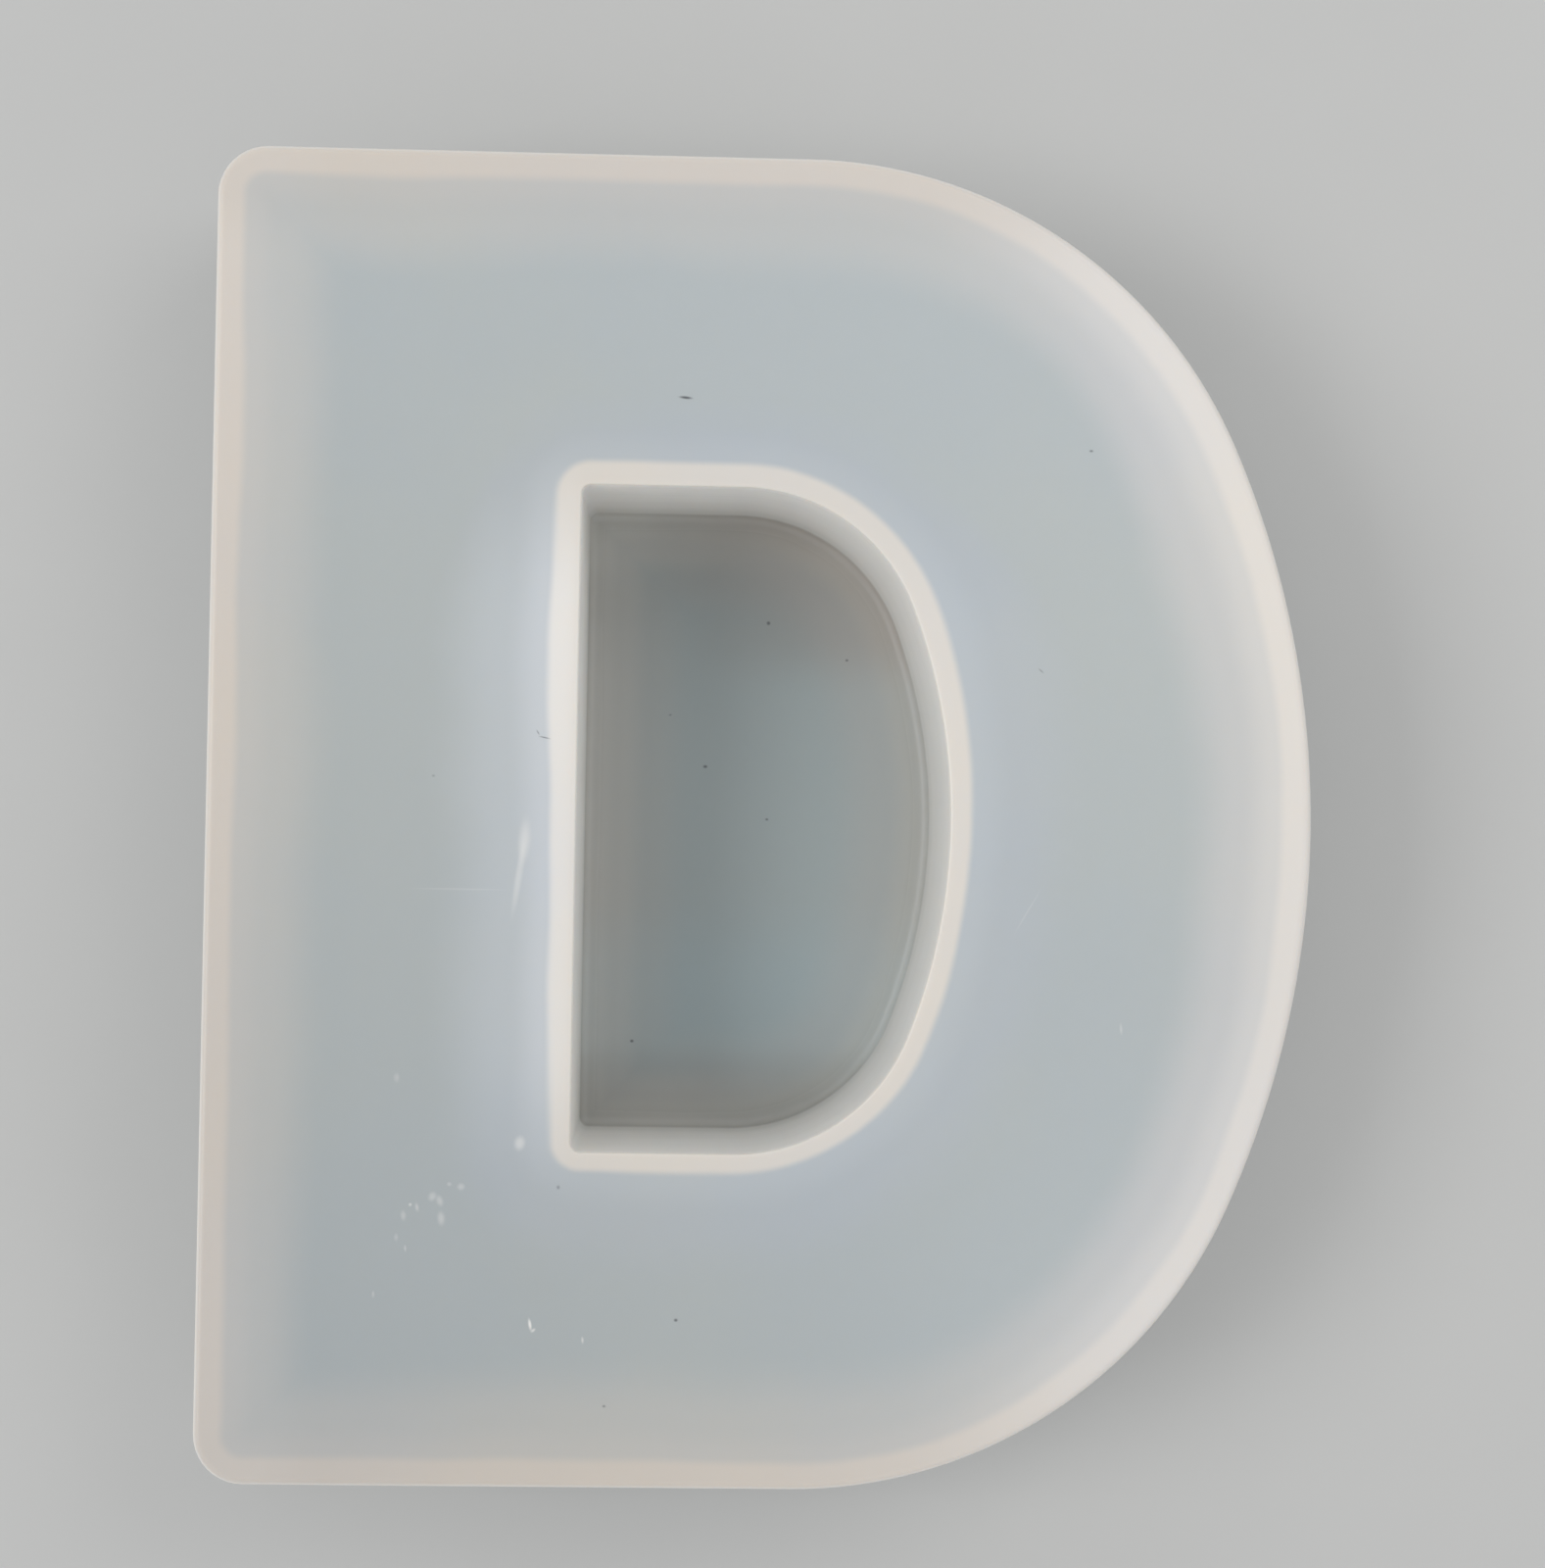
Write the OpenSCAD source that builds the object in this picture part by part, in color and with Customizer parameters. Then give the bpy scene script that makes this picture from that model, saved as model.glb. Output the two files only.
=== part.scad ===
// Silicone mould for casting one capital letter D in resin, face down.
//
// The mould stands on its open rim with the closed back up, as it is laid down to
// rest between casts. Turned over, the same back is the floor that the resin runs
// onto, and it shapes the letter's front. The letter's counter is a hollow island:
// its wall rises from the back to the rim, a thin web closes it level with the rim,
// and from the back it is a deep recess.
//
// Millimetres. X runs across the letter from its stem to its bowl, Y along its
// height, and Z up out of the closed back. The origin is the middle of the
// footprint, on the plane of the open rim.

/* [Cast letter] */
// Height of the cast letter
letter_h = 154; // [146:1:166]
// Width of the cast letter
letter_w = 127; // [122:1:136]
// Depth of the channel that is filled with resin
channel_depth = 30; // [10:1:40]
// Radius of the letter's two stem corners
stem_corner_r = 3; // [0.5:0.5:4]
// Radius of the bowl where it leaves the letter's top and bottom
bowl_shoulder_r = 54; // [48:1:60]
// Radius of the bowl's flatter middle
bowl_belly_r = 111; // [100:1:125]

/* [Counter] */
// Width of the letter's stem, from its straight edge to the counter
stem_w = 38.4; // [34:0.2:42]
// Width of the bowl's stroke at mid height
bowl_stroke_w = 38; // [34:0.5:42]
// Width of the stroke along the letter's top and bottom
arm_stroke_w = 34.2; // [31:0.2:38]
// Radius of the counter's two stem corners
counter_corner_r = 4; // [3.5:0.5:6]
// Radius of the counter where it leaves its top and bottom
counter_shoulder_r = 25; // [20:1:30]
// Radius of the counter's flatter middle
counter_belly_r = 74.3; // [66:0.1:84]

/* [Silicone thickness] */
// Thickness of the wall around the letter
outer_wall_t = 3; // [2:0.5:5]
// Thickness of the wall around the counter's recess
counter_wall_t = 2.8; // [2:0.1:3]
// Thickness of the closed back
back_t = 3; // [2:0.5:6]
// Thickness of the web across the counter, level with the open rim
web_t = 2.6; // [1.6:0.2:5]
// Radius that softens the mould's outer edges and its rim
edge_r = 0.8; // [0.2:0.1:0.9]
// Radius that softens the mouth of the recess
mouth_r = 0.3; // [0.2:0.1:0.9]

/* [Hidden] */

// Straight steps in each arc of an outline and in a softened edge's quarter turn
corner_steps = 6;
shoulder_steps = 18;
belly_steps = 20;
edge_steps = 5;

mould_depth = channel_depth + back_t;

// An outline is [left x, right x, half height, corner radius, shoulder radius,
// belly radius]. Each side of the bowl is two arcs that meet without a kink, so the
// belly's centre, the shoulder's centre and the point where they meet are in line.
letter_line = [
    -letter_w / 2,
    letter_w / 2,
    letter_h / 2,
    stem_corner_r,
    bowl_shoulder_r,
    bowl_belly_r
];
// The counter's outline on the channel side of its wall
counter_line = [
    -letter_w / 2 + stem_w,
    letter_w / 2 - bowl_stroke_w,
    letter_h / 2 - arm_stroke_w,
    counter_corner_r,
    counter_shoulder_r,
    counter_belly_r
];
mould_line = grown(letter_line, outer_wall_t);
recess_line = grown(counter_line, -counter_wall_t);

// An outline moved outward by d all round, or inward where d is negative
function grown(o, d) = [o[0] - d, o[1] + d, o[2] + d, o[3] + d, o[4] + d, o[5] + d];

// The centres of an outline's arcs, and the angle at which its belly ends
function corner_x(o) = o[0] + o[3];
function corner_y(o) = o[2] - o[3];
function shoulder_y(o) = o[2] - o[4];
function shoulder_run(o) = sqrt(pow(o[5] - o[4], 2) - pow(shoulder_y(o), 2));
function belly_x(o) = o[1] - o[5];
function shoulder_x(o) = belly_x(o) + shoulder_run(o);
function belly_angle(o) = atan2(shoulder_y(o), shoulder_run(o));

// Points on an arc, in steps, without its two ends where inner is true
function arc(x, y, r, from, to, steps, inner = false) = [
    for (i = [(inner ? 1 : 0):steps - (inner ? 1 : 0)])
        let (a = from + (to - from) * i / steps)
        [x + r * cos(a), y + r * sin(a)]
];

// An outline's points, anticlockwise from the foot of the belly. Every outline has
// the same number of points, so any two of them join up point to point.
function points_of(o) =
    let (turn = belly_angle(o))
    concat(
        arc(belly_x(o), 0, o[5], -turn, turn, belly_steps, true),
        arc(shoulder_x(o), shoulder_y(o), o[4], turn, 90, shoulder_steps),
        arc(corner_x(o), corner_y(o), o[3], 90, 180, corner_steps),
        arc(corner_x(o), -corner_y(o), o[3], 180, 270, corner_steps),
        arc(shoulder_x(o), -shoulder_y(o), o[4], 270, 360 - turn, shoulder_steps)
    );

// A level is an outline at a height. These are the levels of a softened edge's
// quarter turn, between a wall's face on an outline and a flat face at a height.
// The edge's material is inside the outline where side is 1, and outside where it
// is -1. It is above the flat face where up is 1, and below where it is -1.
function soft_edge(o, height, r, side, up) = [
    for (i = [0:edge_steps])
        let (a = 90 * i / edge_steps)
        [grown(o, -side * r * (1 - cos(a))), height + up * r * (1 - sin(a))]
];
function reversed(list) = [for (i = [len(list) - 1:-1:0]) list[i]];

// Joins levels into one closed skin, each to the next and the last to the first. The
// levels go up the outside of the ring, and down its inside.
module ring(levels) {
    corners = len(points_of(levels[0][0]));
    count = len(levels);
    polyhedron(
        points = [for (l = levels) for (p = points_of(l[0])) [p[0], p[1], l[1]]],
        faces = [
            for (i = [0:count - 1])
                for (k = [0:corners - 1])
                    let (next = (i + 1) % count, beside = (k + 1) % corners)
                    [
                        i * corners + k,
                        next * corners + k,
                        next * corners + beside,
                        i * corners + beside
                    ]
        ]
    );
}

// The closed back: one sheet over the channel and over the tops of both walls, with
// the recess's mouth through it
module back_panel() {
    color([0.73, 0.76, 0.77])
        ring(concat(
            [[mould_line, channel_depth]],
            soft_edge(mould_line, mould_depth, edge_r, 1, -1),
            reversed(soft_edge(recess_line, mould_depth, mouth_r, -1, -1)),
            [[recess_line, channel_depth]]
        ));
}

// The wall around the letter, down to the open rim
module outer_wall() {
    color([0.86, 0.84, 0.82])
        ring(concat(
            [[letter_line, channel_depth]],
            soft_edge(letter_line, 0, edge_r, -1, 1),
            reversed(soft_edge(mould_line, 0, edge_r, 1, 1)),
            [[mould_line, channel_depth]]
        ));
}

// The wall around the recess, between the back and the web
module counter_wall() {
    color([0.89, 0.87, 0.86])
        ring(concat(
            [[recess_line, channel_depth], [recess_line, 0]],
            reversed(soft_edge(counter_line, 0, edge_r, 1, 1)),
            [[counter_line, channel_depth]]
        ));
}

// The web that closes the recess, level with the open rim
module counter_web() {
    color([0.60, 0.62, 0.61])
        linear_extrude(web_t)
            polygon(points_of(recess_line));
}

back_panel();
outer_wall();
counter_wall();
counter_web();
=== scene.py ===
"""A translucent silicone mould for casting a capital letter D, lying face down.

The real mould is one casting, so one closed skin stands for all of its CAD nodes. The
skin is a stack of rings. Each ring is one of the letter's outlines at a height, and
the rings follow a section of the mould: from the middle of the web up out of the
recess, across the back, down the outer wall, round the rim, up into the channel,
across its floor, down the counter's wall and back to the middle of the web.
"""

import math

import bpy
from mathutils import Matrix, Vector


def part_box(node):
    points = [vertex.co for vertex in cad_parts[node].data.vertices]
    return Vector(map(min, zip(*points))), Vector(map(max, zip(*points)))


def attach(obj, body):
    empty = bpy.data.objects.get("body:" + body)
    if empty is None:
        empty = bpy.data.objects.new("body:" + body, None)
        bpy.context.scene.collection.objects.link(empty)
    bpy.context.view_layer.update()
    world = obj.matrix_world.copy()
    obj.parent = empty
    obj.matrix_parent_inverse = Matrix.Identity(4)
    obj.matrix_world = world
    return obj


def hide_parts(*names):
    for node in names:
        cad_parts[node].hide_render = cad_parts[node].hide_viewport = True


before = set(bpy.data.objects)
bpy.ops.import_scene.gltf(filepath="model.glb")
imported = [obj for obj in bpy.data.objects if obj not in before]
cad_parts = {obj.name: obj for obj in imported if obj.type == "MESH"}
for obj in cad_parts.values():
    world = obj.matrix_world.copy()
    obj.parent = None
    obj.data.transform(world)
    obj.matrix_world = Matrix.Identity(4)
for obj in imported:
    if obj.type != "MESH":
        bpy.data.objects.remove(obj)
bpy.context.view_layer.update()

MM = 0.001
QUARTER = math.pi / 2


# ---------------------------------------------------------------- outlines

class Outline:
    """A capital D: a straight stem side with two corners, and a bowl whose halves are
    a shoulder arc and a flatter belly arc that meet without a kink."""

    # Straight steps on each stretch
    CORNER_STEPS = 10
    ARM_STEPS = 22
    SHOULDER_STEPS = 34
    BELLY_STEPS = 40
    STEM_STEPS = 44
    # The smallest radius of a corner
    SHARPEST = 0.3 * MM

    def __init__(self, left, right, half, corner, shoulder, belly):
        self.left, self.right, self.half = left, right, half
        self.corner = max(corner, self.SHARPEST)
        self.shoulder, self.belly = shoulder, belly
        self.corner_x = left + self.corner
        self.corner_y = half - self.corner
        self.shoulder_y = half - shoulder
        run = math.sqrt((belly - shoulder) ** 2 - self.shoulder_y**2)
        self.belly_x = right - belly
        self.shoulder_x = self.belly_x + run
        self.turn = math.atan2(self.shoulder_y, run)

    def grown(self, by):
        """The outline moved outward all round, or inward where by is negative."""
        return Outline(
            self.left - by,
            self.right + by,
            self.half + by,
            self.corner + by,
            self.shoulder + by,
            self.belly + by,
        )

    def points(self):
        """Anticlockwise from the foot of the belly, the same number on any outline."""
        left, half, turn = self.left, self.half, self.turn
        corner_x, corner_y = self.corner_x, self.corner_y
        shoulder_x, shoulder_y = self.shoulder_x, self.shoulder_y
        corner, shoulder = self.corner, self.shoulder
        corner_steps, shoulder_steps = self.CORNER_STEPS, self.SHOULDER_STEPS
        stretches = [
            arc(self.belly_x, 0, self.belly, -turn, turn, self.BELLY_STEPS),
            arc(shoulder_x, shoulder_y, shoulder, turn, QUARTER, shoulder_steps),
            line((shoulder_x, half), (corner_x, half), self.ARM_STEPS),
            arc(corner_x, corner_y, corner, QUARTER, 2 * QUARTER, corner_steps),
            line((left, corner_y), (left, -corner_y), self.STEM_STEPS),
            arc(corner_x, -corner_y, corner, 2 * QUARTER, 3 * QUARTER, corner_steps),
            line((corner_x, -half), (shoulder_x, -half), self.ARM_STEPS),
            arc(shoulder_x, -shoulder_y, shoulder, 3 * QUARTER, 4 * QUARTER - turn, shoulder_steps),
        ]
        return [point for stretch in stretches for point in stretch]

    def distance(self, x, y):
        """How far a point lies outside the outline, negative inside."""
        y = abs(y)
        if x < self.corner_x and y > self.corner_y:
            return math.hypot(x - self.corner_x, y - self.corner_y) - self.corner
        if x <= self.shoulder_x:
            return max(y - self.half, self.left - x)
        if math.atan2(y, x - self.belly_x) < self.turn:
            return math.hypot(x - self.belly_x, y) - self.belly
        return math.hypot(x - self.shoulder_x, y - self.shoulder_y) - self.shoulder


def arc(x, y, radius, start, end, steps):
    """Points on an arc, without its end, where the next stretch begins."""
    angles = [start + (end - start) * i / steps for i in range(steps)]
    return [(x + radius * math.cos(a), y + radius * math.sin(a)) for a in angles]


def line(start, end, steps):
    """Points on a straight stretch, without its end."""
    return [
        tuple(a + (b - a) * i / steps for a, b in zip(start, end))
        for i in range(steps)
    ]


def outline_of(node, radii):
    """The outline that fills a CAD node's box. Its radii are in mm."""
    low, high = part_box(node)
    corner, shoulder, belly = (radius * MM for radius in radii)
    return Outline(low[0], high[0], high[1], corner, shoulder, belly)


# The design's radii in mm: those of the stem corners, the shoulders and the belly
MOULD_RADII = (6, 57, 114)
ISLAND_RADII = (4, 25, 74.3)
RECESS_RADII = (1.2, 22.2, 71.5)
# Thickness of the wall around the letter
OUTER_WALL = 3.0 * MM

mould_line = outline_of("outer_wall", MOULD_RADII)
channel_line = mould_line.grown(-OUTER_WALL)
island_line = outline_of("counter_wall", ISLAND_RADII)
recess_line = outline_of("counter_web", RECESS_RADII)

rim_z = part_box("outer_wall")[0][2]
floor_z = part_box("back_panel")[0][2]
back_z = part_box("back_panel")[1][2]
web_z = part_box("counter_web")[1][2]


# ---------------------------------------------------------------- the skin

# Radii of the outer edges and the rim, of the recess's mouth, and of the fillets at the
# feet of the recess's wall and the channel's
EDGE = 0.8 * MM
MOUTH = 0.3 * MM
RECESS_FILLET = 1.0 * MM
CHANNEL_FILLET = 1.0 * MM
# Steps round an edge, up a wall and across the middle of a flat sheet
ROUND_STEPS = 5
WALL_STEPS = 12
BLEND_STEPS = 6
# Where the rings run on the back, and then on the channel's floor, in mm from the walls
# on either side
NEAR_WALL = (1.0, 1.5, 2.0, 2.5, 2.9, 3.3, 3.8, 4.5, 5.5, 7.0, 9.0, 11.5, 14.0)
NEAR_FILLET = (1.6, 2.6, 4.0, 6.0, 8.5, 11.5)
# Where a disc's rings run, as shares of the way in from its edge to its spine, and
# the spine's length as a share of the recess's
SHRINK = (0.03, 0.08, 0.15, 0.25, 0.38, 0.52, 0.66, 0.8, 0.92)
SPINE_SHARE = 0.45


def ring(outline, z):
    return [Vector((x, y, z)) for x, y in outline.points()]


def rounded(outline, flat_z, radius, side, up):
    """Rings from a wall on an outline over an edge to a flat face at flat_z. The flat
    face lies inward of the wall where side is 1, and the wall runs up where up is 1."""
    out = []
    for i in range(ROUND_STEPS + 1):
        a = QUARTER * i / ROUND_STEPS
        inward = side * radius * (1 - math.cos(a))
        out.append(ring(outline.grown(-inward), flat_z + up * radius * (1 - math.sin(a))))
    return out


def upright(outline, start_z, end_z):
    """Rings between two heights on one wall, without its ends."""
    return [
        ring(outline, start_z + (end_z - start_z) * i / WALL_STEPS)
        for i in range(1, WALL_STEPS)
    ]


def sheet(from_line, to_line, gaps, z):
    """Rings across a flat sheet from one wall's outline out to another's. They keep
    to each wall's own shape near it, and blend between the two in the middle."""
    inner = [ring(from_line.grown(gap * MM), z) for gap in gaps]
    outer = [ring(to_line.grown(-gap * MM), z) for gap in reversed(gaps)]
    middle = [
        [a.lerp(b, i / BLEND_STEPS) for a, b in zip(inner[-1], outer[0])]
        for i in range(1, BLEND_STEPS)
    ]
    return inner + middle + outer


def disc(edge, spine_x, spine_half):
    """Rings from near the spine of a D-shaped disc out to just inside its edge."""
    out = []
    for share in reversed(SHRINK):
        shrunk = []
        for p in edge:
            nearest = Vector((spine_x, max(-spine_half, min(spine_half, p.y)), p.z))
            shrunk.append(p.lerp(nearest, share))
        out.append(shrunk)
    return out


def section_rings():
    """All the rings of the skin, in order along the mould's section."""
    spine_x = (recess_line.left + recess_line.right) / 2
    spine_half = recess_line.half * SPINE_SHARE
    web_edge = rounded(recess_line, web_z, RECESS_FILLET, 1, 1)[::-1]
    rings = disc(web_edge[0], spine_x, spine_half) + web_edge
    rings += upright(recess_line, web_z + RECESS_FILLET, back_z - MOUTH)
    rings += rounded(recess_line, back_z, MOUTH, -1, -1)
    rings += sheet(recess_line, mould_line, NEAR_WALL, back_z)
    rings += rounded(mould_line, back_z, EDGE, 1, -1)[::-1]
    rings += upright(mould_line, back_z - EDGE, rim_z + EDGE)
    rings += rounded(mould_line, rim_z, EDGE, 1, 1)
    rings += rounded(channel_line, rim_z, EDGE, -1, 1)[::-1]
    rings += upright(channel_line, rim_z + EDGE, floor_z - CHANNEL_FILLET)
    rings += rounded(channel_line, floor_z, CHANNEL_FILLET, 1, -1)
    rings += sheet(island_line, channel_line, NEAR_FILLET, floor_z)[::-1]
    rings += rounded(island_line, floor_z, CHANNEL_FILLET, -1, -1)[::-1]
    rings += upright(island_line, floor_z - CHANNEL_FILLET, rim_z + EDGE)
    rim_edge = rounded(island_line, rim_z, EDGE, 1, 1)
    rings += rim_edge + disc(rim_edge[-1], spine_x, spine_half)[::-1]
    return rings


# How far the back hangs, and how far from its walls it reaches that
BACK_SAG = 0.25 * MM
SAG_REACH = 14 * MM


def smooth(t):
    t = max(0.0, min(1.0, t))
    return t * t * (3 - 2 * t)


def relaxed(p):
    """Lets the back hang a hair between its walls, as soft silicone does."""
    if p.z < floor_z - EDGE:
        return p
    clear = min(-channel_line.distance(p.x, p.y), island_line.distance(p.x, p.y))
    return Vector((p.x, p.y, p.z - BACK_SAG * smooth(clear / SAG_REACH)))


def store(mesh, name, values):
    """Keeps a number for each point, in mm, for the material to read."""
    layer = mesh.attributes.new(name, "FLOAT", "POINT")
    layer.data.foreach_set("value", values)


def build_skin():
    rings = section_rings()
    around = len(rings[0])
    verts = [p for r in rings for p in r]
    faces = []
    for i in range(len(rings) - 1):
        for k in range(around):
            a = i * around + k
            b = i * around + (k + 1) % around
            faces.append((a, b, b + around, a + around))
    last = (len(rings) - 1) * around
    faces.append(tuple(reversed(range(around))))
    faces.append(tuple(range(last, last + around)))
    mesh = bpy.data.meshes.new("mould_skin")
    mesh.from_pydata([relaxed(p) for p in verts], [], faces)
    mesh.validate()
    mesh.shade_smooth()
    store(mesh, "edge_gap", [-mould_line.distance(p.x, p.y) / MM for p in verts])
    store(mesh, "island_gap", [recess_line.distance(p.x, p.y) / MM for p in verts])
    skin = bpy.data.objects.new("mould_skin", mesh)
    bpy.context.scene.collection.objects.link(skin)
    return skin


# ---------------------------------------------------------------- materials

def srgb(r, g, b):
    """A colour in 0 to 255, as the shaders want it."""
    out = []
    for v in (r / 255, g / 255, b / 255):
        out.append(v / 12.92 if v <= 0.04045 else ((v + 0.055) / 1.055) ** 2.4)
    return (*out, 1.0)


class Nodes:
    """Short calls for building a material's node tree."""

    def __init__(self, name):
        self.material = bpy.data.materials.new(name)
        self.material.use_nodes = True
        self.tree = self.material.node_tree
        self.shader = self.tree.nodes["Principled BSDF"]
        self.where = self.add("TexCoord").outputs["Object"]

    def add(self, kind, **settings):
        node = self.tree.nodes.new("ShaderNode" + kind)
        for key, value in settings.items():
            setattr(node, key, value)
        return node

    def feed(self, socket, value):
        if isinstance(value, bpy.types.NodeSocket):
            self.tree.links.new(value, socket)
        else:
            socket.default_value = value

    def calc(self, operation, a, b=0.0, c=0.0):
        node = self.add("Math", operation=operation)
        for socket, value in zip(node.inputs, (a, b, c)):
            self.feed(socket, value)
        return node.outputs[0]

    def times(self, a, b):
        return self.calc("MULTIPLY", a, b)

    def plus(self, total, value, factor):
        """The total with value times factor added."""
        return self.calc("MULTIPLY_ADD", value, factor, total)

    def scaled(self, colour, factor):
        """A colour made lighter or darker by a number."""
        node = self.add("VectorMath", operation="SCALE")
        self.feed(node.inputs[0], colour)
        self.feed(node.inputs["Scale"], factor)
        return node.outputs["Vector"]

    def attribute(self, name):
        return self.add("Attribute", attribute_name=name).outputs["Fac"]

    def ramp(self, value, reach, stops):
        """Colours at stated values between 0 and reach, smoothly joined."""
        node = self.add("ValToRGB")
        node.color_ramp.interpolation = "EASE"
        elements = node.color_ramp.elements
        while len(elements) < len(stops):
            elements.new(0.5)
        for element, (at, colour) in zip(elements, stops):
            element.position = at / reach
            element.color = srgb(*colour)
        span = self.add("MapRange")
        self.feed(span.inputs["Value"], value)
        span.inputs["From Max"].default_value = reach
        self.feed(node.inputs["Fac"], span.outputs["Result"])
        return node.outputs["Color"]

    def step(self, value, span):
        """0 before the span and 1 beyond it, smooth between. It may run downward."""
        node = self.add("MapRange", interpolation_type="SMOOTHSTEP")
        self.feed(node.inputs["Value"], value)
        node.inputs["From Min"].default_value = span[0]
        node.inputs["From Max"].default_value = span[1]
        return node.outputs["Result"]

    # A Mix node repeats the names of its sockets for each kind of value, so the two
    # calls below find them by place

    def mix(self, factor, a, b, blend="MIX"):
        node = self.add("Mix", data_type="RGBA", blend_type=blend)
        self.feed(node.inputs[0], factor)
        self.feed(node.inputs[6], a)
        self.feed(node.inputs[7], b)
        return node.outputs[2]

    def mix_numbers(self, factor, a, b):
        node = self.add("Mix", data_type="FLOAT")
        self.feed(node.inputs[0], factor)
        self.feed(node.inputs[2], a)
        self.feed(node.inputs[3], b)
        return node.outputs[0]

    def noise(self, scale, detail):
        node = self.add("TexNoise")
        self.feed(node.inputs["Vector"], self.where)
        node.inputs["Scale"].default_value = scale
        node.inputs["Detail"].default_value = detail
        return node.outputs["Fac"]

    def bump(self, height, distance, strength):
        node = self.add("Bump")
        self.feed(node.inputs["Height"], height)
        node.inputs["Distance"].default_value = distance
        node.inputs["Strength"].default_value = strength
        return node


# Colours by distance in mm from the mould's outer face, seen from the back. Over the
# wall the silicone is deep and milky white. Inside it the sheet is thin and bluish,
# and the lit wall glows through it for a few millimetres.
FIELD = (176, 181, 180)
STEM_BAND = [
    (0.0, (214, 208, 201)),
    (0.6, (207, 199, 189)),
    (2.7, (207, 199, 189)),
    (4.1, (192, 190, 185)),
    (8.0, (187, 187, 183)),
    (16.0, FIELD),
]
# The bowl's wall is lit more strongly
BOWL_BAND = [
    (0.0, (207, 202, 196)),
    (1.4, (214, 209, 202)),
    (2.9, (214, 209, 202)),
    (4.4, (202, 200, 196)),
    (9.0, (191, 191, 189)),
    (16.0, FIELD),
]
# The same from the face of the recess outward, first beside the stem
COUNTER_STEM_BAND = [
    (0.0, (238, 236, 232)),
    (2.5, (230, 227, 222)),
    (3.6, (199, 203, 206)),
    (8.0, (187, 192, 194)),
    (18.0, FIELD),
]
COUNTER_BAND = [
    (0.0, (216, 210, 201)),
    (2.05, (216, 210, 201)),
    (3.15, (183, 188, 190)),
    (8.0, (178, 183, 185)),
    (17.0, FIELD),
]
# The band above the recess is less bright by this much
COUNTER_TOP_DIMMER = 0.042
# It is also wider than the band below the recess: their ends move by this much, in mm
# per metre along the letter
COUNTER_BAND_SHIFT = -8.0
# Colours of the recess's wall by height in mm above the rim, painted darker low down as shade
WALL_BAND = [
    (2.6, (206, 205, 201)),
    (6.0, (219, 218, 214)),
    (12.0, (231, 229, 225)),
    (22.0, (237, 235, 231)),
    (31.0, (243, 240, 235)),
]
# Painted light and shade: lighter towards the top, and darker towards the bowl, per metre
WALL_LIGHTER_Y = 1.1
WALL_LIGHTER_X = -1.8
# The master's level lines: how many there are to a mm, their strength, and how bright
# the wall is where they are darkest
LINES_PER_MM = 1.1
LINE_STRENGTH = 0.10
LINE_DARKEST = 0.965
# Colours of the thin web by distance in mm from the recess's wall inward, painted lighter by the
# wall
WEB_BAND = [
    (0.0, (184, 183, 178)),
    (1.6, (177, 177, 173)),
    (4.5, (168, 169, 166)),
    (8.5, (157, 162, 161)),
    (14.0, (151, 160, 161)),
]
# Its edge glows less on the bowl's side
WEB_BOWL_BAND = [
    (0.0, (169, 169, 165)),
    (1.6, (166, 167, 163)),
    (6.0, (157, 161, 160)),
    (14.0, (151, 160, 161)),
]
# Painted light: how much lighter the web is on the bowl's side, per metre along the letter,
# by its top end and in its top stem corner, and painted shade, darker, by its bottom end
WEB_BOWL_GLOW = 0.24
WEB_LIGHTER_Y = -0.5
WEB_TOP_GLOW = 0.09
WEB_CORNER_GLOW = 0.22
WEB_BOTTOM_GLOW = -0.09
# Painted shade with a browner tint high on the bowl's side, and a bluer tint low down
WEB_HIGH_SHADE = (0.94, 0.885, 0.86, 1.0)
WEB_LOW_TINT = (1.01, 1.055, 1.085, 1.0)
# Colours of the outer wall by height in mm above the rim. The wall is thin and bluish,
# and whiter at the rim and at the back, whose edges are deep silicone
SIDE_BAND = [
    (0.0, (214, 213, 209)),
    (1.6, (199, 201, 200)),
    (14.0, (194, 198, 199)),
    (27.5, (202, 205, 205)),
    (30.5, (222, 219, 213)),
]
# The bands by distance end within this many mm, and those by height at the back
BAND_REACH = 20.0
MOULD_HEIGHT = (back_z - rim_z) / MM
# Painted light: the sheet is a little lighter towards the bowl and the top, per metre
PAINTED_LIGHT_X = 1.05
PAINTED_LIGHT_Y = 0.78
# and across the two diagonals, per square metre
PAINTED_LIGHT_TWIST = -6.4
# It is also painted lighter by these shares low on the bowl and by the stem's edge, most
# of all low down there, and painted darker, as shade, by the top edge
PAINTED_LIGHT_LOW_BOWL = 0.045
PAINTED_LIGHT_STEM_EDGE = 0.03
PAINTED_SHADE_TOP_EDGE = -0.052
# The sheet's tint where it is a shade bluer, and where in its cloudy pattern that is
COOL = (0.975, 0.99, 1.02, 1.0)
COOL_CLOUDS = (0.35, 0.65)
# How far the ends of the bands wander: the least and the spread, as shares
WANDER_LEAST = 0.75
WANDER_SPREAD = 0.5

# Where one look gives way to another, as spans in mm: first those across the letter
BOWL_SIDE = (15, 50)
BOWL_HALF = (0, 40)
STEM_EDGE = (-50, -62)
WEB_BOWL_SIDE = (-12, 8)
WEB_GLOW_SIDE = (-8, 17)
WEB_HIGH_SIDE = (-14, 6)
WEB_STEM_SIDE = (-10, -21)
# then those along it
ABOVE_RECESS = (20, 42)
LOW_ON_BOWL = (-15, -60)
LOW_ON_STEM = (-35, -65)
TOP_EDGE = (66, 76)
WEB_HIGH = (16, 25)
WEB_TOP = (30, 37)
WEB_TOP_CORNER = (26, 37)
WEB_LOW = (-8, -22)
WEB_ABOVE_BOTTOM = (-37, -29)
WEB_BOTTOM = (-28, -33)
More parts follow.
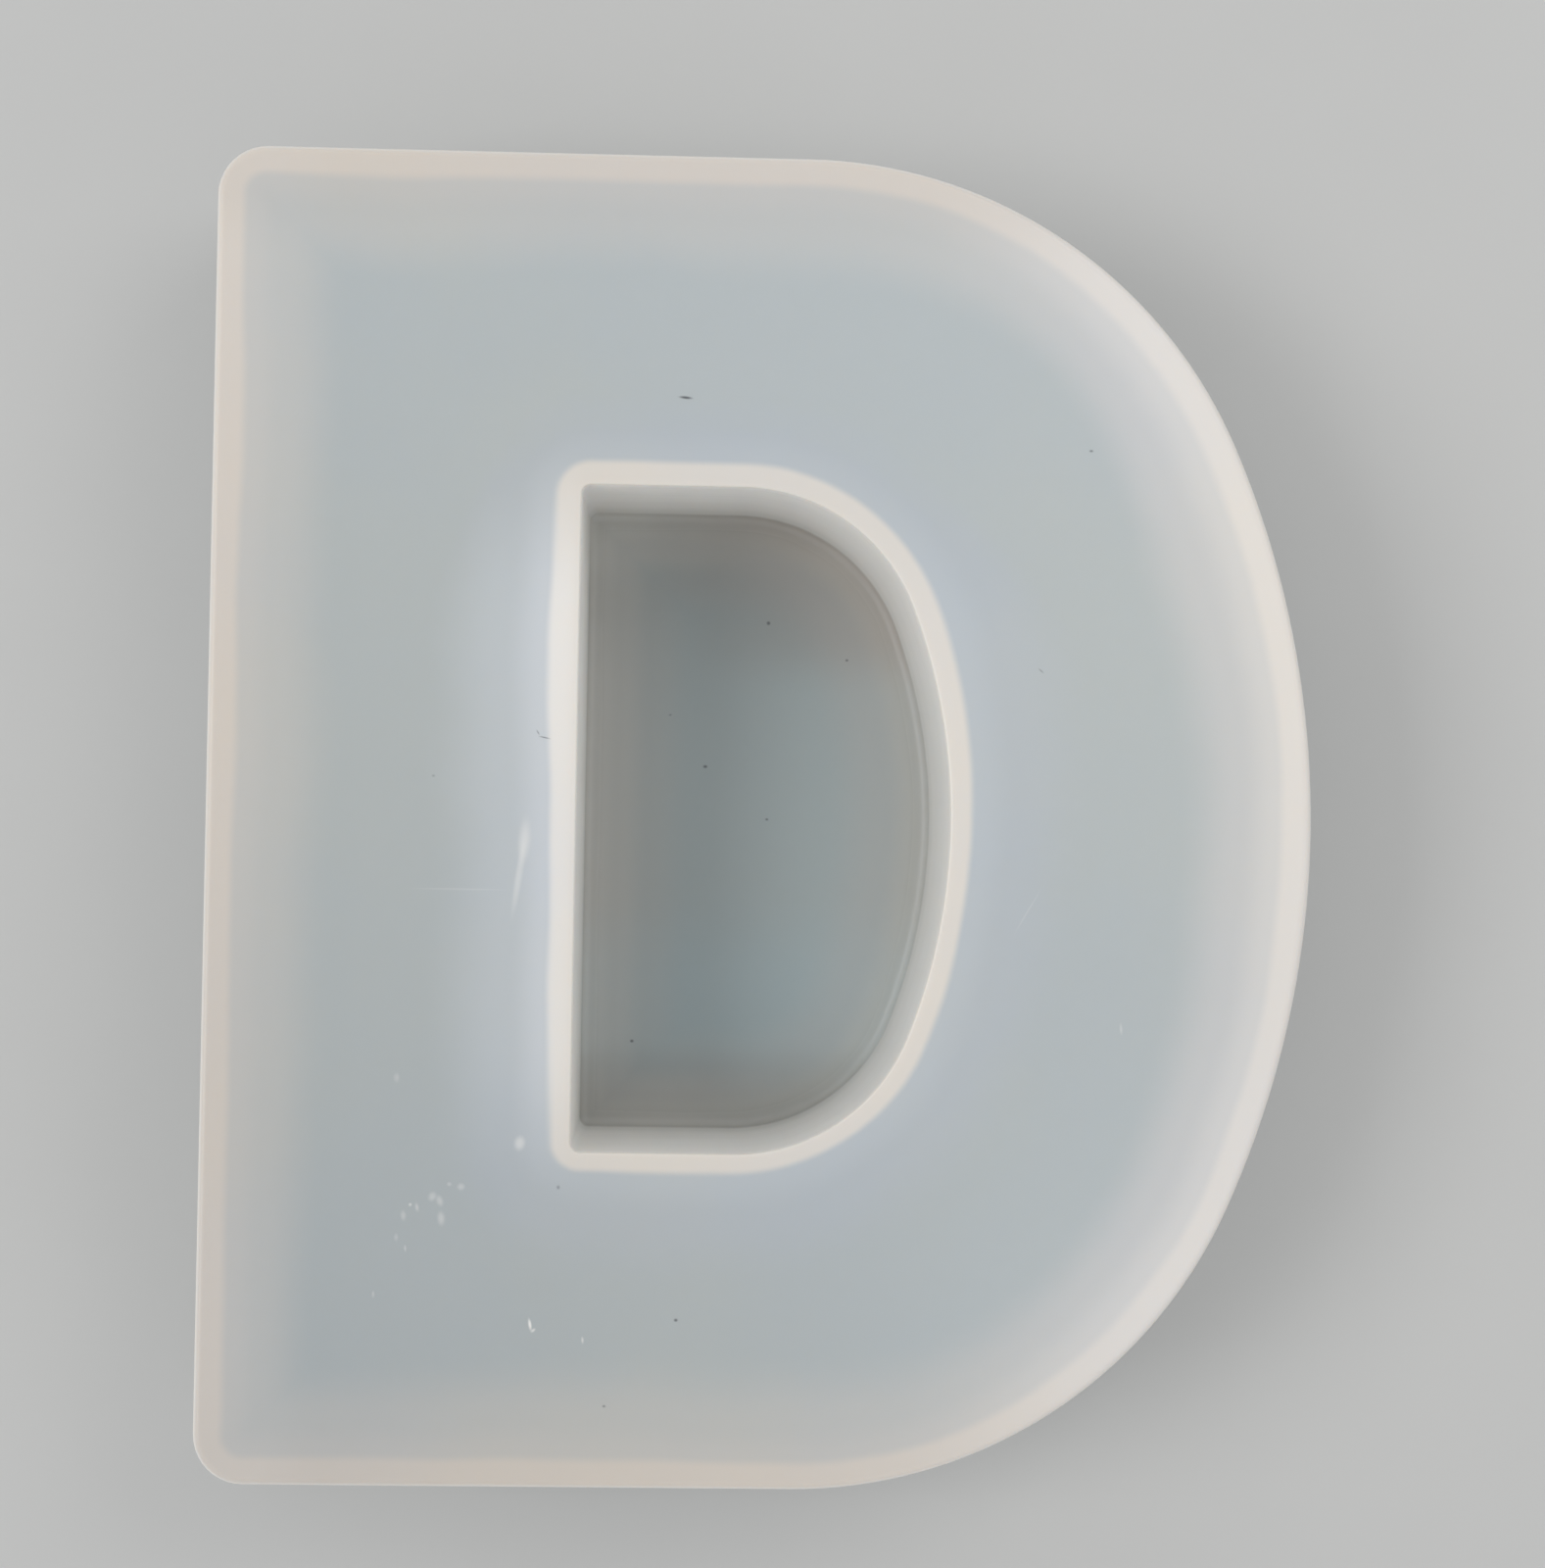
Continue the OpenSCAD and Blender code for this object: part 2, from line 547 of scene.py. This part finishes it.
# those from the recess's stem side, from its top and bottom, and up from the web
BESIDE_RECESS = (2, -4)
OFF_RECESS_ENDS = (6, -14)
WALL_FOOT = (3, 0.5)
# and those by the stored distances: onto the outer wall, onto the recess's wall, onto
# the web, and to where the web is glossy
ONTO_SIDE = (0.5, 0.05)
ONTO_WALL = (0.3, 0.1)
ONTO_WEB = (-0.03, -0.7)
ONTO_GLOSS = (-0.8, -3.0)
# The recess's wall takes over from the back between these heights
BELOW_MOUTH = (MOULD_HEIGHT - 0.1, MOULD_HEIGHT - 0.5)

# The surface's patterns, per metre, and the height and strength of its relief
WANDER_SCALE = 30
CLOUD_SCALE = 22
HAZE_SCALE = 60
SWELL_SCALE = 45
SWELL_HEIGHT = 0.2 * MM
SWELL_STRENGTH = 0.3
GRAIN_SCALE = 900
GRAIN_HEIGHT = 0.02 * MM
GRAIN_STRENGTH = 0.25
# Roughness of the satin silicone and of the glossy web, and what the haze adds to each
SATIN = 0.30
SATIN_HAZE = 0.16
GLOSSY = 0.14
GLOSSY_HAZE = 0.06

# Marks that use has left, each with its place, half length and half width in mm, its
# turn in degrees and its strength. These are whitish scuffs on the back
SCUFFS = [
    (-28.4, -2.9, 2.9, 0.85, 86, 0.35),
    (-29.0, -7.2, 5.2, 0.5, 82, 0.3),
    (-36.0, -8.8, 6.5, 0.15, 0, 0.14),
    (-28.3, -39.0, 1.0, 0.75, 80, 0.42),
    (-42.0, -47.8, 0.75, 0.4, 95, 0.25),
    (-41.2, -46.5, 0.25, 0.25, 0, 0.45),
    (-40.4, -46.8, 0.6, 0.28, 100, 0.3),
    (-38.6, -45.5, 0.7, 0.55, 60, 0.28),
    (-37.7, -46.0, 0.8, 0.5, 110, 0.28),
    (-37.5, -48.1, 1.0, 0.55, 95, 0.3),
    (-35.2, -44.3, 0.55, 0.5, 0, 0.28),
    (-36.6, -44.0, 0.35, 0.3, 0, 0.25),
    (-42.8, -50.4, 0.55, 0.3, 90, 0.2),
    (-41.7, -51.7, 0.5, 0.18, 95, 0.3),
    (-43.1, -31.4, 0.65, 0.45, 90, 0.2),
    (-45.4, -57.2, 0.5, 0.2, 90, 0.25),
    (-26.7, -60.6, 0.85, 0.24, 100, 0.85),
    (-26.3, -61.3, 0.4, 0.22, 40, 0.55),
    (-20.4, -62.4, 0.5, 0.18, 95, 0.5),
    (43.7, -24.4, 0.8, 0.2, 95, 0.3),
    (32.2, -10.4, 3.4, 0.12, 60, 0.15),
]
# Dark flecks of lint and dust on the back
LINT = [
    (-10.0, 50.7, 0.95, 0.22, -5, 0.8),
    (-26.2, 9.5, 0.8, 0.1, -12, 0.6),
    (-27.0, 10.1, 0.4, 0.1, -60, 0.5),
    (-9.3, -59.9, 0.3, 0.25, 0, 0.7),
    (-17.7, -70.2, 0.25, 0.2, 0, 0.5),
    (-23.6, -44.2, 0.25, 0.3, 0, 0.4),
    (-39.4, 4.7, 0.25, 0.2, 0, 0.3),
    (39.1, 45.3, 0.3, 0.2, 0, 0.6),
    (33.4, 18.6, 0.5, 0.12, -40, 0.4),
]
# Dark specks on the web
SPECKS = [
    (1.3, 26.1, 0.3, 0.3, 0, 0.7),
    (11.7, 21.4, 0.25, 0.2, 0, 0.6),
    (-6.7, 7.1, 0.35, 0.25, 0, 0.7),
    (-11.4, 13.8, 0.25, 0.15, 20, 0.4),
    (1.5, 0.3, 0.25, 0.2, 0, 0.6),
    (-15.7, -29.0, 0.3, 0.25, 0, 0.7),
]
SCUFF_COLOUR = (232, 230, 226)
LINT_COLOUR = (58, 60, 66)
# A mark fades out over this span, in its own half sizes from its middle
MARK_FADES = (1.2, 0.2)


class Silicone(Nodes):
    """The mould's milky material. Its colour holds what stands behind, and painted light and shade.
    """

    def __init__(self):
        super().__init__("milky_silicone")
        place = self.add("SeparateXYZ")
        self.feed(place.inputs[0], self.where)
        self.across, self.along, self.height = place.outputs
        self.level = self.calc("DIVIDE", self.height, MM)
        self.edge_gap = self.attribute("edge_gap")
        self.island_gap = self.attribute("island_gap")

        on_wall = self.times(
            self.step(self.island_gap, ONTO_WALL), self.step(self.level, BELOW_MOUTH)
        )
        at_foot = self.times(on_wall, self.share(self.height, WALL_FOOT, web_z))
        in_web = self.calc("MAXIMUM", self.step(self.island_gap, ONTO_WEB), at_foot)
        colour = self.mix(self.step(self.edge_gap, ONTO_SIDE), self.back(), self.side())
        colour = self.mix(on_wall, colour, self.recess_wall())
        colour = self.mix(in_web, colour, self.web())
        self.feed(self.shader.inputs["Base Color"], colour)

        self.surface()
        self.shader.inputs["IOR"].default_value = 1.41
        self.shader.inputs["Subsurface Weight"].default_value = 0.5
        self.shader.inputs["Subsurface Radius"].default_value = (1.0, 0.85, 0.7)
        self.shader.inputs["Subsurface Scale"].default_value = 1.2 * MM

    def share(self, axis, span, origin=0.0):
        """0 before the span and 1 beyond it. The span is in mm from an origin."""
        return self.step(axis, [origin + at * MM for at in span])

    def back(self):
        """The back and the rim: the brighter of the two bands, where they overlap."""
        wander = self.plus(WANDER_LEAST, self.noise(WANDER_SCALE, 2), WANDER_SPREAD)
        from_face = self.times(self.edge_gap, wander)
        from_edge = self.mix(
            self.share(self.across, BOWL_SIDE),
            self.ramp(from_face, BAND_REACH, STEM_BAND),
            self.ramp(from_face, BAND_REACH, BOWL_BAND),
        )
        from_recess = self.times(self.island_gap, wander)
        from_recess = self.plus(from_recess, self.along, COUNTER_BAND_SHIFT)
        off_middle = self.calc("ABSOLUTE", self.along)
        stem_side = self.times(
            self.share(self.across, BESIDE_RECESS, recess_line.left),
            self.share(off_middle, OFF_RECESS_ENDS, recess_line.half),
        )
        from_island = self.mix(
            stem_side,
            self.ramp(from_recess, BAND_REACH, COUNTER_BAND),
            self.ramp(from_recess, BAND_REACH, COUNTER_STEM_BAND),
        )
        dimmer = self.plus(1.0, self.share(self.along, ABOVE_RECESS), -COUNTER_TOP_DIMMER)
        from_island = self.scaled(from_island, dimmer)
        colour = self.mix(1.0, from_edge, from_island, "LIGHTEN")
        # Painted light and shade across the back: lighter towards the bowl and the top, darker by
        # the top edge
        colour = self.scaled(colour, self.painted_light())
        bluer = self.step(self.noise(CLOUD_SCALE, 3), COOL_CLOUDS)
        colour = self.mix(bluer, colour, COOL, "MULTIPLY")
        colour = self.marked(colour, SCUFFS, back_z, SCUFF_COLOUR)
        return self.marked(colour, LINT, back_z, LINT_COLOUR)

    # Painted light and shade: a factor on the back's colour, by place
    def painted_light(self):
        across, along = self.across, self.along
        stem_edge = self.share(across, STEM_EDGE)
        low_stem_edge = self.times(stem_edge, self.share(along, LOW_ON_STEM))
        low_bowl = self.times(self.share(across, BOWL_HALF), self.share(along, LOW_ON_BOWL))
        light_factor = self.plus(1.0, across, PAINTED_LIGHT_X)
        light_factor = self.plus(light_factor, along, PAINTED_LIGHT_Y)
        light_factor = self.plus(light_factor, self.times(across, along), PAINTED_LIGHT_TWIST)
        light_factor = self.plus(light_factor, low_bowl, PAINTED_LIGHT_LOW_BOWL)
        light_factor = self.plus(light_factor, stem_edge, PAINTED_LIGHT_STEM_EDGE)
        light_factor = self.plus(light_factor, low_stem_edge, PAINTED_LIGHT_STEM_EDGE)
        return self.plus(light_factor, self.share(along, TOP_EDGE), PAINTED_SHADE_TOP_EDGE)

    def side(self):
        """The outer wall."""
        return self.ramp(self.level, MOULD_HEIGHT, SIDE_BAND)

    def recess_wall(self):
        """The recess's wall: the master's faint level lines, and painted light and shade."""
        lines = self.add("TexNoise", noise_dimensions="1D")
        self.feed(lines.inputs["W"], self.level)
        lines.inputs["Scale"].default_value = LINES_PER_MM
        lit = self.plus(LINE_DARKEST, lines.outputs["Fac"], LINE_STRENGTH)
        # Painted light and shade: lighter towards the top, darker towards the bowl
        lit = self.plus(lit, self.along, WALL_LIGHTER_Y)
        lit = self.plus(lit, self.across, WALL_LIGHTER_X)
        return self.scaled(self.ramp(self.level, MOULD_HEIGHT, WALL_BAND), lit)

    def web(self):
        """The web at the foot of the recess, with painted light and shade."""
        across, along = self.across, self.along
        inward = self.times(self.island_gap, -1.0)
        colour = self.mix(
            self.share(across, WEB_BOWL_SIDE),
            self.ramp(inward, BAND_REACH, WEB_BAND),
            self.ramp(inward, BAND_REACH, WEB_BOWL_BAND),
        )
        # Painted shade, browner, high on the bowl's side, and a bluer tint low down
        high = self.times(self.share(across, WEB_HIGH_SIDE), self.share(along, WEB_HIGH))
        colour = self.mix(high, colour, WEB_HIGH_SHADE, "MULTIPLY")
        low = self.times(self.share(along, WEB_LOW), self.share(along, WEB_ABOVE_BOTTOM))
        colour = self.mix(low, colour, WEB_LOW_TINT, "MULTIPLY")
        colour = self.marked(colour, SPECKS, web_z, LINT_COLOUR)
        corner = self.times(
            self.share(across, WEB_STEM_SIDE), self.share(along, WEB_TOP_CORNER)
        )
        # The lift is painted light across the web, and painted shade by its bottom end
        painted_lift = self.plus(1.0, self.share(across, WEB_GLOW_SIDE), WEB_BOWL_GLOW)
        painted_lift = self.plus(painted_lift, along, WEB_LIGHTER_Y)
        painted_lift = self.plus(painted_lift, self.share(along, WEB_TOP), WEB_TOP_GLOW)
        painted_lift = self.plus(painted_lift, corner, WEB_CORNER_GLOW)
        painted_lift = self.plus(painted_lift, self.share(along, WEB_BOTTOM), WEB_BOTTOM_GLOW)
        return self.scaled(colour, painted_lift)

    def marked(self, colour, marks, z, paint):
        """The colour with soft-edged oval marks painted over it at one height."""
        for x, y, half_length, half_width, turn, strength in marks:
            place = self.add("Mapping", vector_type="TEXTURE")
            self.feed(place.inputs["Vector"], self.where)
            place.inputs["Location"].default_value = (x * MM, y * MM, z)
            place.inputs["Rotation"].default_value = (0, 0, math.radians(turn))
            place.inputs["Scale"].default_value = (half_length * MM, half_width * MM, MM)
            reach = self.add("VectorMath", operation="LENGTH")
            self.feed(reach.inputs[0], place.outputs["Vector"])
            inside = self.step(reach.outputs["Value"], MARK_FADES)
            colour = self.mix(self.times(inside, strength), colour, srgb(*paint))
        return colour

    def surface(self):
        """Satin silicone, glossier on the web, with a slight swell and a fine grain."""
        haze = self.noise(HAZE_SCALE, 3)
        satin = self.plus(SATIN, haze, SATIN_HAZE)
        glossy = self.plus(GLOSSY, haze, GLOSSY_HAZE)
        gloss = self.step(self.island_gap, ONTO_GLOSS)
        roughness = self.mix_numbers(gloss, satin, glossy)
        self.feed(self.shader.inputs["Roughness"], roughness)
        swell = self.bump(self.noise(SWELL_SCALE, 1), SWELL_HEIGHT, SWELL_STRENGTH)
        grain = self.bump(self.noise(GRAIN_SCALE, 2), GRAIN_HEIGHT, GRAIN_STRENGTH)
        self.feed(grain.inputs["Normal"], swell.outputs["Normal"])
        self.feed(self.shader.inputs["Normal"], grain.outputs["Normal"])


TABLE_MOTTLE_SCALE = 14
TABLE_DARKEST = (184, 184, 182)
TABLE_LIGHTEST = (192, 192, 190)


def table_material():
    table = Nodes("pale_table")
    mottle = table.noise(TABLE_MOTTLE_SCALE, 4)
    colour = table.mix(mottle, srgb(*TABLE_DARKEST), srgb(*TABLE_LIGHTEST))
    table.feed(table.shader.inputs["Base Color"], colour)
    table.shader.inputs["Roughness"].default_value = 0.7
    return table.material


# ---------------------------------------------------------------- stage

FLOOR_REACH = 20.0
# The floor lies a hair below the rim, so that the two aren't in one plane
FLOOR_DROP = 0.05 * MM


def build_floor():
    reach = FLOOR_REACH
    mesh = bpy.data.meshes.new("floor")
    mesh.from_pydata(
        [(-reach, -reach, 0), (reach, -reach, 0), (reach, reach, 0), (-reach, reach, 0)],
        [],
        [(0, 1, 2, 3)],
    )
    floor = bpy.data.objects.new("floor", mesh)
    floor.location.z = rim_z - FLOOR_DROP
    bpy.context.scene.collection.objects.link(floor)
    mesh.materials.append(table_material())


def area_light(name, place, aim, size, watts, colour):
    light = bpy.data.lights.new(name, "AREA")
    light.shape = "SQUARE"
    light.size = size
    light.energy = watts
    light.color = colour
    lamp = bpy.data.objects.new(name, light)
    lamp.location = place
    lamp.visible_camera = False
    lamp.rotation_euler = (Vector(aim) - Vector(place)).to_track_quat("-Z", "Y").to_euler()
    bpy.context.scene.collection.objects.link(lamp)


# Name, place, point aimed at and size in metres, power in watts, colour
LAMPS = [
    ("softbox", (0.22, 0.18, 0.42), (0.02, 0, 0.03), 0.25, 0.36, (1.0, 0.99, 0.97)),
    ("window", (-1.1, -0.05, 1.25), (0, 0, 0.03), 0.7, 8.0, (1.0, 1.0, 1.0)),
]
ROOM_LIGHT = 0.75
ROOM_COLOUR = (0.97, 0.98, 1.0, 1.0)


def build_lights():
    world = bpy.data.worlds.new("soft_room")
    world.use_nodes = True
    sky = world.node_tree.nodes["Background"]
    sky.inputs["Color"].default_value = ROOM_COLOUR
    sky.inputs["Strength"].default_value = ROOM_LIGHT
    bpy.context.scene.world = world
    # Standard shows the colours above as they are stated, with no film curve on top
    bpy.context.scene.view_settings.view_transform = "Standard"
    for lamp in LAMPS:
        area_light(*lamp)


# The camera stands about 0.3 m above the back, nearly over the stem side of the
# counter, and is turned a degree from square.
CAMERA_PLACE = (-9.1 * MM, -1.6 * MM, 354.3 * MM)
CAMERA_AIM = (1.2 * MM, 4.4 * MM, 33 * MM)
CAMERA_ROLL = math.radians(0.95)
CAMERA_LENS = 61.5
SENSOR_WIDTH = 36


def build_camera():
    data = bpy.data.cameras.new("camera")
    data.lens = CAMERA_LENS
    data.sensor_width = SENSOR_WIDTH
    camera = bpy.data.objects.new("camera", data)
    forward = (Vector(CAMERA_AIM) - Vector(CAMERA_PLACE)).normalized()
    upward = Vector((0, 1, 0)) - forward * forward.y
    upward.normalize()
    right = forward.cross(upward)
    tilted = upward * math.cos(CAMERA_ROLL) - right * math.sin(CAMERA_ROLL)
    right = forward.cross(tilted)
    turn = Matrix((right, tilted, -forward)).transposed().to_4x4()
    camera.matrix_world = Matrix.Translation(CAMERA_PLACE) @ turn
    bpy.context.scene.collection.objects.link(camera)
    bpy.context.scene.camera = camera


build_camera()
skin = build_skin()
skin.data.materials.append(Silicone().material)
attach(skin, "root")
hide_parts("back_panel", "outer_wall", "counter_wall", "counter_web")
build_floor()
build_lights()
